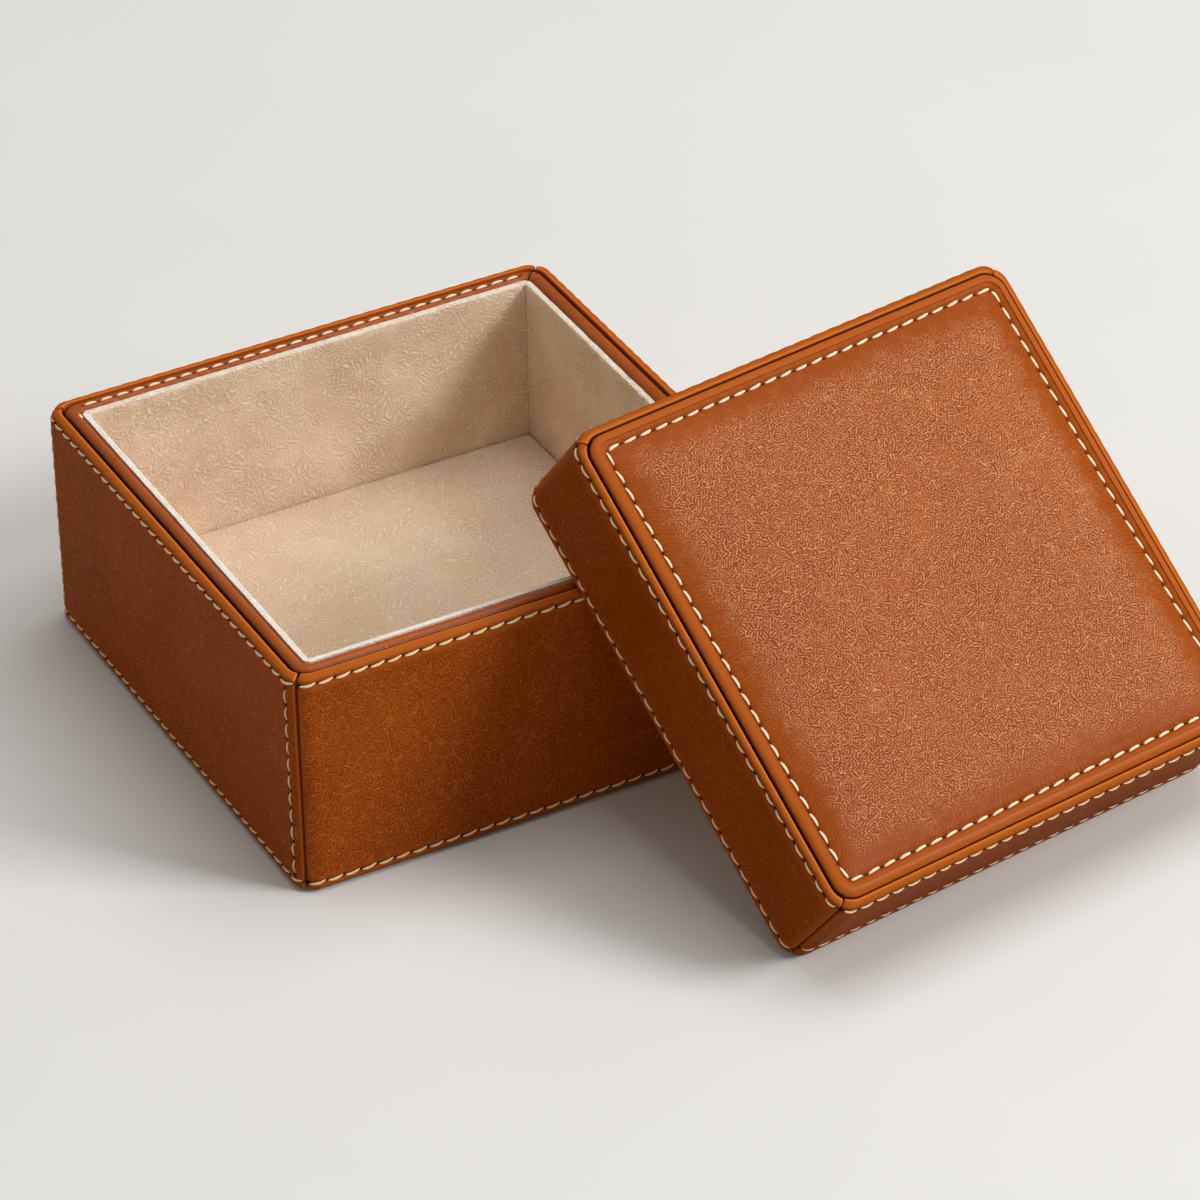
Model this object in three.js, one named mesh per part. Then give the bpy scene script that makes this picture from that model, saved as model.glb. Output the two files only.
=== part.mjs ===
import * as THREE from 'three';

// A leather gift box: a square base lined in suede, and a lower square lid with a padded top. The lid is shown
// taken off, standing on the table on its lower edge and leaning on the top of the base's front wall.
// Millimetres, +Z up. The origin is the middle of the base's underside, on the table. The front faces -Y.

// The base, over its leather
const base_width = 140;
const base_depth = 140;
const base_height = 62;
const base_corner_radius = 6;
const base_lining_corner_radius = 1;

// The lid, over its leather
const lid_width = 130;
const lid_depth = 130;
const lid_band_height = 32;
const lid_corner_radius = 6;
const lid_lining_corner_radius = 1;

// How the lid stands: tilted up about its lower edge, turned a little to the base, with its left edge over the
// front wall's top edge this far right of the middle
const lid_tilt = THREE.MathUtils.degToRad(37.91);
const lid_turn = THREE.MathUtils.degToRad(8.236);
const lid_lean_right = 6.28;

// Leather: every panel has its edges skived and folded back on itself
const leather_thickness = 1.4;
const base_fold_thickness = 1.6;
const base_fold_depth = 8;
const base_top_roll_height = 2.4;
const base_bottom_roll_height = 1.3;
const lid_fold_thickness = 0.8;
const lid_fold_depth = 5.5;
const lid_top_roll_height = 1.9;
const lid_open_edge_roll_height = 1.1;
const fold_inner_round = 0.6;

// Clearances
const glue_line = 0.1;
const seam_gap = 0.3;
const pad_gap = 0.2;
const welt_groove = 0.2;
const panel_groove = 0.4;
const lid_locating_clearance = 0.5;

// Boards, linings and pads of the base
const base_board_thickness = 5.6;
const bottom_board_thickness = 3;
const underside_panel_thickness = 1.2;
const underside_panel_margin = 0.4;
const side_panel_lift = 0.5;
const base_lining_thickness = 1.6;
const base_lining_drop = 0.5;
const lining_top_round = 0.5;
const floor_foam_thickness = 9;
const floor_pad_thickness = 3;
const floor_pad_edge_round = 0.6;

// The leather welt on the rim, a strip whose ends meet at the back right corner
const welt_height = 3.6;
const welt_crown_height = 2;

// Boards, linings and pads of the lid
const lid_board_thickness = 2.1;
const lid_board_setback = 0.5;
const top_board_thickness = 2.8;
const lid_lining_thickness = 0.7;
const lid_lining_setback = 0.4;
const ceiling_pad_thickness = 2;

// The lid's padded top
const top_roll_width = 2.1;
const top_roll_height = 1.3;
const top_roll_shoulder = 1.6;
const top_stitch_inset = 3.9;
const top_stitch_drop = 0.7;
const top_plan_corner_radius = 5.5;
const pad_edge_rise = 2.2;
const pad_crown = 1.6;
const pad_edge_power = 9;
const pad_crown_power = 2;
const pad_inset_shares = [0.012, 0.035, 0.07, 0.13, 0.24, 0.4, 0.6, 0.8];
const pad_centre_radius_share = 0.5;

// The tabs in the lid that drop inside the base's lining
const tab_length = 50;
const tab_thickness = 1.4;
const tab_reach = 2.5;
const tab_rise = 12;
const tab_round = 0.6;

// How finely curves are cut
const corner_steps = 4;
const roll_steps = 3;
const small_round_steps = 1;
const pad_side_steps = 6;

// Insets, measured inwards from the outer leather face
const base_fold_inset = leather_thickness + base_fold_thickness;
const welt_outer_inset = base_fold_inset + welt_groove;
const base_board_inner_inset = leather_thickness + glue_line + base_board_thickness;
const base_lining_outer_inset = base_board_inner_inset + glue_line;
const base_lining_inner_inset = base_lining_outer_inset + base_lining_thickness;
const lid_fold_inset = leather_thickness + lid_fold_thickness;
const lid_board_inner_inset = leather_thickness + glue_line + lid_board_thickness;
const lid_lining_outer_inset = lid_board_inner_inset + glue_line;
const lid_lining_inner_inset = lid_lining_outer_inset + lid_lining_thickness;
const tab_outer_inset = Math.max(
  lid_lining_inner_inset + glue_line,
  base_lining_inner_inset + lid_locating_clearance - (base_width - lid_width) / 2,
);

// Heights in the base
const bottom_board_z = underside_panel_thickness + glue_line;
const base_inside_z = bottom_board_z + bottom_board_thickness + glue_line;
const base_board_top_z = base_height - welt_height - glue_line;
const floor_pad_z = base_inside_z + floor_foam_thickness + glue_line;

// Heights in the lid, from its open edge
const top_panel_z = lid_band_height - top_roll_shoulder;
const top_board_z = top_panel_z - glue_line - top_board_thickness;
const lid_inside_z = top_board_z - glue_line;
const ceiling_pad_z = lid_inside_z - glue_line - ceiling_pad_thickness;

const base_corner = { outer: base_corner_radius, inner: base_lining_corner_radius, depth: base_lining_inner_inset };
const lid_corner = { outer: lid_corner_radius, inner: lid_lining_corner_radius, depth: lid_lining_inner_inset };
const base_plan = { width: base_width, depth: base_depth, corner: base_corner };
const lid_plan = { width: lid_width, depth: lid_depth, corner: lid_corner };

const side_names = ['front', 'right', 'back', 'left'];
const quarter_turn = Math.PI / 2;

const leather = new THREE.MeshStandardMaterial({ color: 0x9a4f20, roughness: 0.5, metalness: 0 });
const suede = new THREE.MeshStandardMaterial({ color: 0xc9ad88, roughness: 0.95, metalness: 0 });
const board = new THREE.MeshStandardMaterial({ color: 0x8c7a63, roughness: 0.9, metalness: 0 });
const foam = new THREE.MeshStandardMaterial({ color: 0xe6e0d2, roughness: 1, metalness: 0 });

// The plan's corner radius at an inset, so that neighbouring layers nest round the corner
function cornerRadiusAt(corner, inset) {
  const share = Math.min(inset / corner.depth, 1);
  return corner.outer + (corner.inner - corner.outer) * share;
}

// The runs of one side of a plan: half its length, and how far its outer face lies from the middle
function sideRuns(plan, side) {
  const along_x = side % 2 === 0;
  return {
    half_run: (along_x ? plan.width : plan.depth) / 2,
    reach: (along_x ? plan.depth : plan.width) / 2,
  };
}

// The stations along consecutive sides, round each half corner from mitre to mitre. turn_share runs from 0 where
// the straight begins to 1 at the mitre, and gap is what the first and last mitre leave open.
function sideStations(sides, gap) {
  const stations = [];
  for (const [place, side] of sides.entries()) {
    for (const end of [-1, 1]) {
      const outermost = end < 0 ? place === 0 : place === sides.length - 1;
      for (let step = 0; step <= corner_steps; step += 1) {
        const turn_share = (end < 0 ? corner_steps - step : step) / corner_steps;
        const repeats_mitre = end < 0 && step === 0 && place > 0;
        if (!repeats_mitre) stations.push({ side, end, turn_share, gap: outermost ? gap : 0 });
      }
    }
  }
  return stations;
}

// The plan's point at a station and an inset
function planPoint(plan, station, inset) {
  const { half_run, reach } = sideRuns(plan, station.side);
  const radius = cornerRadiusAt(plan.corner, inset);
  const angle = station.turn_share * (quarter_turn / 2 - Math.asin(station.gap / 2 / radius));
  const along = station.end * (half_run - inset - radius + radius * Math.sin(angle));
  const across = -(reach - inset - radius + radius * Math.cos(angle));
  return new THREE.Vector2(along, across).rotateAround(new THREE.Vector2(), station.side * quarter_turn);
}

function closedGeometry(points, faces) {
  const geometry = new THREE.BufferGeometry().setFromPoints(points);
  geometry.setIndex(faces.flat());
  geometry.computeVertexNormals();
  return geometry;
}

// A closed outline of (inset, height) points, turned to run anticlockwise
function anticlockwise(outline) {
  return THREE.ShapeUtils.isClockWise(outline) ? outline.slice().reverse() : outline;
}

// An outline carried along the stations and closed at both ends
function loftAlong(plan, stations, outline) {
  const section = anticlockwise(outline);
  const count = section.length;
  const points = [];
  for (const station of stations) {
    for (const { x: inset, y: height } of section) {
      const at = planPoint(plan, station, inset);
      points.push(new THREE.Vector3(at.x, at.y, height));
    }
  }
  const faces = [];
  for (let ring = 0; ring < stations.length - 1; ring += 1) {
    for (let place = 0; place < count; place += 1) {
      const next = (place + 1) % count;
      const near = ring * count;
      const far = near + count;
      faces.push([near + place, near + next, far + next], [near + place, far + next, far + place]);
    }
  }
  const last = (stations.length - 1) * count;
  for (const [a, b, c] of THREE.ShapeUtils.triangulateShape(section, [])) {
    faces.push([a, c, b], [last + a, last + b, last + c]);
  }
  return closedGeometry(points, faces);
}

// One side of a four-sided wall, mitred at both ends with half the seam's gap left there
function mitredSide(plan, side, outline) {
  return loftAlong(plan, sideStations([side], seam_gap), outline);
}

// A leather panel in section: outer face, rolled top and bottom edges, and the edges folded back inside
function foldedPanelOutline({ bottom, top, thickness, fold, fold_depth, top_roll, bottom_roll }) {
  const folded = thickness + fold;
  const path = new THREE.Path();
  path.moveTo(0, bottom + bottom_roll);
  path.lineTo(0, top - top_roll);
  path.absellipse(folded - fold_inner_round, top - top_roll, folded - fold_inner_round, top_roll,
    Math.PI, quarter_turn, true);
  path.absarc(folded - fold_inner_round, top - fold_inner_round, fold_inner_round, quarter_turn, 0, true);
  path.lineTo(folded, top - fold_depth);
  path.lineTo(thickness, top - fold_depth);
  path.lineTo(thickness, bottom + fold_depth);
  path.lineTo(folded, bottom + fold_depth);
  path.lineTo(folded, bottom + fold_inner_round);
  path.absarc(folded - fold_inner_round, bottom + fold_inner_round, fold_inner_round, 0, -quarter_turn, true);
  path.absellipse(folded - fold_inner_round, bottom + bottom_roll, folded - fold_inner_round, bottom_roll,
    -quarter_turn, -Math.PI, true);
  return outlinePoints(path, roll_steps);
}

// The points of a path, with those that fall together kept once
function outlinePoints(path, steps) {
  const least = seam_gap / 10;
  const kept = [];
  for (const point of path.getPoints(steps)) {
    const before = kept[kept.length - 1];
    if (!before || before.distanceTo(point) > least) kept.push(point);
  }
  if (kept[0].distanceTo(kept[kept.length - 1]) <= least) kept.pop();
  return kept;
}

// A wall board in section: full thickness in the middle, thinned where the leather's folds lie on it
function boardOutline({ bottom, top, outer, folded, inner, fold_bottom, fold_top }) {
  return [
    new THREE.Vector2(folded, bottom),
    new THREE.Vector2(inner, bottom),
    new THREE.Vector2(inner, top),
    new THREE.Vector2(folded, top),
    new THREE.Vector2(folded, fold_top),
    new THREE.Vector2(outer, fold_top),
    new THREE.Vector2(outer, fold_bottom),
    new THREE.Vector2(folded, fold_bottom),
  ];
}

// A lining in section: a suede-covered card with its exposed edge rounded, at the top or at the bottom
function liningOutline({ bottom, top, outer, inner, round, rounded_end }) {
  const path = new THREE.Path();
  if (rounded_end === 'top') {
    path.moveTo(outer, bottom);
    path.lineTo(inner, bottom);
    path.absarc(inner - round, top - round, round, 0, quarter_turn, false);
    path.lineTo(outer, top);
  } else {
    path.moveTo(outer, top);
    path.lineTo(inner, top);
    path.absarc(inner - round, bottom + round, round, 0, -quarter_turn, true);
    path.lineTo(outer, bottom);
  }
  return outlinePoints(path, small_round_steps);
}

// The welt in section: flat on the board, straight sides, rounded crown
function weltOutline() {
  const half = (base_board_inner_inset - welt_outer_inset) / 2;
  const middle = welt_outer_inset + half;
  const bottom = base_height - welt_height;
  const path = new THREE.Path();
  path.moveTo(welt_outer_inset, bottom);
  path.lineTo(base_board_inner_inset, bottom);
  path.absellipse(middle, base_height - welt_crown_height, half, welt_crown_height, 0, Math.PI, false);
  return outlinePoints(path, roll_steps * 2);
}

// A rounded rectangle at an inset of a plan
function planShape(plan, inset) {
  const shape = new THREE.Shape();
  for (const [side] of side_names.entries()) {
    for (const station of sideStations([side], 0).slice(0, -1)) {
      const at = planPoint(plan, station, inset);
      if (shape.curves.length === 0 && shape.currentPoint.lengthSq() === 0) shape.moveTo(at.x, at.y);
      else shape.lineTo(at.x, at.y);
    }
  }
  shape.closePath();
  return shape;
}

// A flat sheet that fills a plan at an inset, with its edges rounded by a bevel
function planSheet(plan, inset, bottom, thickness, edge_round) {
  const geometry = new THREE.ExtrudeGeometry(planShape(plan, inset), {
    depth: thickness - 2 * edge_round,
    bevelEnabled: edge_round > 0,
    bevelSize: edge_round,
    bevelOffset: -edge_round,
    bevelThickness: edge_round,
    bevelSegments: small_round_steps,
  });
  return geometry.translate(0, 0, bottom + edge_round);
}

// The lid top's plan: the panel's edge lies inside the bands' folded edges
const top_half_width = lid_width / 2 - lid_fold_inset - panel_groove;
const top_half_depth = lid_depth / 2 - lid_fold_inset - panel_groove;
const pad_half_width = top_half_width - top_stitch_inset;
const pad_half_depth = top_half_depth - top_stitch_inset;
const stitch_z = lid_band_height + top_roll_height - top_stitch_drop;

// The padded top's height over a point: up quickly from the stitches, then a slow crown
function padHeight(x, y) {
  const u = Math.min(Math.abs(x) / pad_half_width, 1);
  const v = Math.min(Math.abs(y) / pad_half_depth, 1);
  const edge = (1 - u ** pad_edge_power) * (1 - v ** pad_edge_power);
  const crown = (1 - u ** pad_crown_power) * (1 - v ** pad_crown_power);
  return stitch_z + pad_edge_rise * edge + pad_crown * crown;
}

// A ring of points round the lid top at an inset from its edge, each at its own height
function topRing(inset, heightAt) {
  const half_x = top_half_width - inset;
  const half_y = top_half_depth - inset;
  const radius = Math.min(top_plan_corner_radius, half_x * pad_centre_radius_share, half_y * pad_centre_radius_share);
  const ring = [];
  for (const [side] of side_names.entries()) {
    const along_x = side % 2 === 0;
    const straight = (along_x ? half_x : half_y) - radius;
    const reach = along_x ? half_y : half_x;
    const place = (along, across) => {
      const at = new THREE.Vector2(along, -across).rotateAround(new THREE.Vector2(), side * quarter_turn);
      ring.push(new THREE.Vector3(at.x, at.y, heightAt(at.x, at.y)));
    };
    for (let step = 0; step < pad_side_steps; step += 1) {
      place(straight * (2 * step / pad_side_steps - 1), reach);
    }
    for (let step = 0; step < corner_steps; step += 1) {
      const angle = quarter_turn * step / corner_steps;
      place(straight + radius * Math.sin(angle), reach - radius + radius * Math.cos(angle));
    }
  }
  return ring;
}

// Rings stacked from a first middle point to a last one, closed by a fan at each
function loftRings(first, rings, last) {
  const count = rings[0].length;
  const points = [first, ...rings.flat(), last];
  const end = points.length - 1;
  const faces = [];
  for (let place = 0; place < count; place += 1) {
    const next = (place + 1) % count;
    faces.push([0, 1 + place, 1 + next]);
    for (let ring = 0; ring < rings.length - 1; ring += 1) {
      const near = 1 + ring * count;
      const far = near + count;
      faces.push([near + place, far + place, far + next], [near + place, far + next, near + next]);
    }
    const final = 1 + (rings.length - 1) * count;
    faces.push([final + place, end, final + next]);
  }
  return closedGeometry(points, faces);
}

// Insets of the pad's rings from the stitch line in to near the middle
const pad_insets = pad_inset_shares.map((share) => top_stitch_inset + share * Math.min(pad_half_width, pad_half_depth));

// The lid's top panel: leather rolled over at its edge, stitched down, then drawn over the foam
function topPanelGeometry() {
  const roll_top = lid_band_height + top_roll_height;
  const flat = (height) => () => height;
  const outer = [];
  for (const inset of pad_insets.slice().reverse()) outer.push(topRing(inset, padHeight));
  outer.push(topRing(top_stitch_inset, flat(stitch_z)));
  for (let step = 0; step <= roll_steps; step += 1) {
    const angle = quarter_turn * step / roll_steps;
    const inset = top_roll_width * (1 - Math.sin(angle));
    const height = lid_band_height + top_roll_height * Math.cos(angle);
    outer.push(topRing(inset, flat(height)));
  }
  outer.push(topRing(0, flat(top_panel_z)));
  const inner = [topRing(top_stitch_inset + leather_thickness, flat(top_panel_z))];
  for (const inset of pad_insets.slice(2)) {
    inner.push(topRing(inset, (x, y) => padHeight(x, y) - leather_thickness));
  }
  const middle = padHeight(0, 0);
  return loftRings(
    new THREE.Vector3(0, 0, middle),
    [...outer, ...inner],
    new THREE.Vector3(0, 0, middle - leather_thickness),
  );
}

// The foam under the lid's top panel, filling the crown
function topFoamGeometry() {
  const below_leather = leather_thickness + pad_gap;
  const rings = pad_insets.slice(3).reverse().map(
    (inset) => topRing(inset + pad_gap, (x, y) => padHeight(x, y) - below_leather),
  );
  rings.push(topRing(pad_insets[2] + pad_gap * 2, () => top_panel_z));
  return loftRings(
    new THREE.Vector3(0, 0, padHeight(0, 0) - below_leather),
    rings,
    new THREE.Vector3(0, 0, top_panel_z),
  );
}

function named(name, geometry, material) {
  const mesh = new THREE.Mesh(geometry, material.clone());
  mesh.name = name;
  return mesh;
}

// Four mitred sides with one section, named after the side that each stands on
function fourSides(group, stem, plan, outline, material) {
  for (const [side, side_name] of side_names.entries()) {
    group.add(named(`${stem}_${side_name}`, mitredSide(plan, side, outline), material));
  }
}

function buildBase() {
  const group = new THREE.Group();
  const underside_inset = base_fold_inset + underside_panel_margin;
  group.add(named('underside_panel',
    planSheet(base_plan, underside_inset, 0, underside_panel_thickness, 0), leather));
  group.add(named('base_bottom_board',
    planSheet(base_plan, base_fold_inset + glue_line, bottom_board_z, bottom_board_thickness, 0), board));
  fourSides(group, 'base_wall_board', base_plan, boardOutline({
    bottom: base_inside_z,
    top: base_board_top_z,
    outer: leather_thickness + glue_line,
    folded: base_fold_inset + glue_line,
    inner: base_board_inner_inset,
    fold_bottom: side_panel_lift + base_fold_depth + glue_line,
    fold_top: base_height - base_fold_depth - glue_line,
  }), board);
  fourSides(group, 'base_side_panel', base_plan, foldedPanelOutline({
    bottom: side_panel_lift,
    top: base_height,
    thickness: leather_thickness,
    fold: base_fold_thickness,
    fold_depth: base_fold_depth,
    top_roll: base_top_roll_height,
    bottom_roll: base_bottom_roll_height,
  }), leather);
  const back_to_back = [2, 3, 0, 1];
  group.add(named('rim_welt',
    loftAlong(base_plan, sideStations(back_to_back, seam_gap), weltOutline()), leather));
  fourSides(group, 'base_lining', base_plan, liningOutline({
    bottom: base_inside_z,
    top: base_height - base_lining_drop,
    outer: base_lining_outer_inset,
    inner: base_lining_inner_inset,
    round: lining_top_round,
    rounded_end: 'top',
  }), suede);
  const pad_inset = base_lining_inner_inset + pad_gap;
  group.add(named('floor_foam', planSheet(base_plan, pad_inset, base_inside_z, floor_foam_thickness, 0), foam));
  group.add(named('floor_pad',
    planSheet(base_plan, pad_inset, floor_pad_z, floor_pad_thickness, floor_pad_edge_round), suede));
  return group;
}

// A tab on one side of the lid, with its free corners rounded
function tabGeometry(side) {
  const half = tab_length / 2;
  const shape = new THREE.Shape();
  shape.moveTo(-half, tab_rise);
  shape.lineTo(-half, tab_round - tab_reach);
  shape.absarc(tab_round - half, tab_round - tab_reach, tab_round, Math.PI, Math.PI + quarter_turn, false);
  shape.absarc(half - tab_round, tab_round - tab_reach, tab_round, -quarter_turn, 0, false);
  shape.lineTo(half, tab_rise);
  shape.closePath();
  const geometry = new THREE.ExtrudeGeometry(shape, {
    depth: tab_thickness,
    bevelEnabled: false,
    curveSegments: small_round_steps,
  });
  const { reach } = sideRuns(lid_plan, side);
  geometry.rotateX(quarter_turn);
  geometry.translate(0, -(reach - tab_outer_inset) + tab_thickness, 0);
  return geometry.rotateZ(side * quarter_turn);
}

function buildLid() {
  const group = new THREE.Group();
  fourSides(group, 'lid_band', lid_plan, foldedPanelOutline({
    bottom: 0,
    top: lid_band_height,
    thickness: leather_thickness,
    fold: lid_fold_thickness,
    fold_depth: lid_fold_depth,
    top_roll: lid_top_roll_height,
    bottom_roll: lid_open_edge_roll_height,
  }), leather);
  fourSides(group, 'lid_wall_board', lid_plan, boardOutline({
    bottom: lid_board_setback,
    top: lid_inside_z,
    outer: leather_thickness + glue_line,
    folded: lid_fold_inset + glue_line,
    inner: lid_board_inner_inset,
    fold_bottom: lid_fold_depth + glue_line,
    fold_top: lid_band_height - lid_fold_depth - glue_line,
  }), board);
  fourSides(group, 'lid_lining', lid_plan, liningOutline({
    bottom: lid_lining_setback,
    top: lid_inside_z,
    outer: lid_lining_outer_inset,
    inner: lid_lining_inner_inset,
    round: lid_lining_thickness / 2,
    rounded_end: 'bottom',
  }), suede);
  group.add(named('lid_top_board',
    planSheet(lid_plan, lid_fold_inset + glue_line, top_board_z, top_board_thickness, 0), board));
  group.add(named('lid_ceiling_pad',
    planSheet(lid_plan, lid_lining_inner_inset + pad_gap, ceiling_pad_z, ceiling_pad_thickness, 0), suede));
  group.add(named('lid_top_foam', topFoamGeometry(), foam));
  group.add(named('lid_top_panel', topPanelGeometry(), leather));
  for (const [side, side_name] of side_names.entries()) {
    group.add(named(`lid_tab_${side_name}`, tabGeometry(side), suede));
  }
  return group;
}

// The lid's group, moved so that the lower left corner of its open edge is the pivot, then tilted and turned.
// The pivot lies on the table, lowered by what the rolled edge takes off the sharp corner.
function standLid(lid) {
  lid.position.set(lid_width / 2, lid_depth / 2, 0);
  const tilted = new THREE.Group();
  tilted.rotation.x = lid_tilt;
  tilted.add(lid);
  const standing = new THREE.Group();
  standing.rotation.z = lid_turn;
  standing.add(tilted);
  const up_the_lid = new THREE.Vector3(0, Math.cos(lid_tilt), Math.sin(lid_tilt));
  up_the_lid.applyAxisAngle(new THREE.Vector3(0, 0, 1), lid_turn);
  const lean_height = base_height / Math.sin(lid_tilt);
  const roll_down = (lid_fold_inset - fold_inner_round) * Math.sin(lid_tilt);
  const roll_across = lid_open_edge_roll_height * Math.cos(lid_tilt);
  const edge_loss = roll_down + roll_across - Math.hypot(roll_down, roll_across);
  standing.position.set(lid_lean_right, -base_depth / 2, base_height);
  standing.position.addScaledVector(up_the_lid, -lean_height);
  standing.position.z -= edge_loss;
  return standing;
}

const gift_box = new THREE.Group();
gift_box.add(buildBase());
gift_box.add(standLid(buildLid()));

export default gift_box;
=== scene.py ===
import bmesh
import bpy
import math
import random
from bisect import bisect_right
from mathutils import Matrix, Vector, noise


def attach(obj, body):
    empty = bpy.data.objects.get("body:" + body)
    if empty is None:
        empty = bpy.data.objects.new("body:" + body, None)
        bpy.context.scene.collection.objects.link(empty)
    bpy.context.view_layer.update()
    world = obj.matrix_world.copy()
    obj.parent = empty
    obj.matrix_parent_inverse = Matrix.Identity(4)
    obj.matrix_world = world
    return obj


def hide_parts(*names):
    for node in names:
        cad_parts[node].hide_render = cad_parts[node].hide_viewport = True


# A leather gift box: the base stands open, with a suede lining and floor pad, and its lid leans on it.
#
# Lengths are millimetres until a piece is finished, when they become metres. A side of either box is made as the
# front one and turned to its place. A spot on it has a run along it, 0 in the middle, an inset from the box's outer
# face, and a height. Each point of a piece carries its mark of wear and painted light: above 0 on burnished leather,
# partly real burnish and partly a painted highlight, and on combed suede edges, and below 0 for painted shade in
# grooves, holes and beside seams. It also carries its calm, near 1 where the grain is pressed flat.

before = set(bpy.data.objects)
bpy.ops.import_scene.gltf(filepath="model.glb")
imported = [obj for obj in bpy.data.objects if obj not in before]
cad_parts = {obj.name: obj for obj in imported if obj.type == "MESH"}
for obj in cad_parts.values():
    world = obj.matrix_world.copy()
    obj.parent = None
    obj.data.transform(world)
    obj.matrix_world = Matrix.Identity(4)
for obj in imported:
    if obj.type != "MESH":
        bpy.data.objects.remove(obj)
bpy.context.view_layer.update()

MM = 0.001
SIDES = ["front", "right", "back", "left"]
FAR_SIDES = ("back", "right")
BASE_HALF, BASE_TOP = 70, 62
LID_HALF, BAND_TOP = 65, 32
LEATHER = 1.4
PITCH = 4.6
STITCHED_SPACING = PITCH / 8
SEAM_GAP = 0.6
ROW_REACH = 2.6
# Painted shade: how dark the bottom of a groove is painted
GROOVE_PAINTED_SHADE = -1.1


# Camera, lamps and table

def make_camera():
    """The camera that was fitted to the box's edges."""
    right = Vector((0.87914, -0.47624, -0.01771))
    up = Vector((0.28135, 0.48866, 0.82586))
    back = right.cross(up)
    data = bpy.data.cameras.new("camera")
    data.lens = 197.83
    data.sensor_width = 36
    data.clip_start = 0.05
    data.clip_end = 60
    camera = bpy.data.objects.new("camera", data)
    axes = Matrix((right, up, back)).transposed().to_4x4()
    camera.matrix_world = Matrix.Translation((-0.59155, -1.21634, 0.94211)) @ axes
    bpy.context.scene.collection.objects.link(camera)
    bpy.context.scene.camera = camera


def softbox(name, towards, distance, width, height, watts, tint):
    """A lamp that hangs in a direction from the box and shines on it. Its lengths are metres."""
    aim = Vector((0.03, -0.03, 0.04))
    data = bpy.data.lights.new(name, "AREA")
    data.shape = "RECTANGLE"
    data.size = width
    data.size_y = height
    data.energy = watts
    data.color = tint
    lamp = bpy.data.objects.new(name, data)
    direction = Vector(towards).normalized()
    lamp.location = aim + direction * distance
    lamp.rotation_mode = "QUATERNION"
    lamp.rotation_quaternion = direction.to_track_quat("Z", "Y")
    bpy.context.scene.collection.objects.link(lamp)


class Flow:
    """A number or colour that runs through a finish, with ordinary arithmetic on numbers."""

    def __init__(self, finish, socket):
        self.finish = finish
        self.socket = socket

    def maths(self, operation, first, second):
        return self.finish.add("Math", {"operation": operation}, {0: first, 1: second})

    def __add__(self, other):
        return self.maths("ADD", self, other)

    def __radd__(self, other):
        return self.maths("ADD", other, self)

    def __sub__(self, other):
        return self.maths("SUBTRACT", self, other)

    def __rsub__(self, other):
        return self.maths("SUBTRACT", other, self)

    def __mul__(self, other):
        return self.maths("MULTIPLY", self, other)

    def __rmul__(self, other):
        return self.maths("MULTIPLY", other, self)

    def __abs__(self):
        return self.maths("ABSOLUTE", self, 0)


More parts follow.
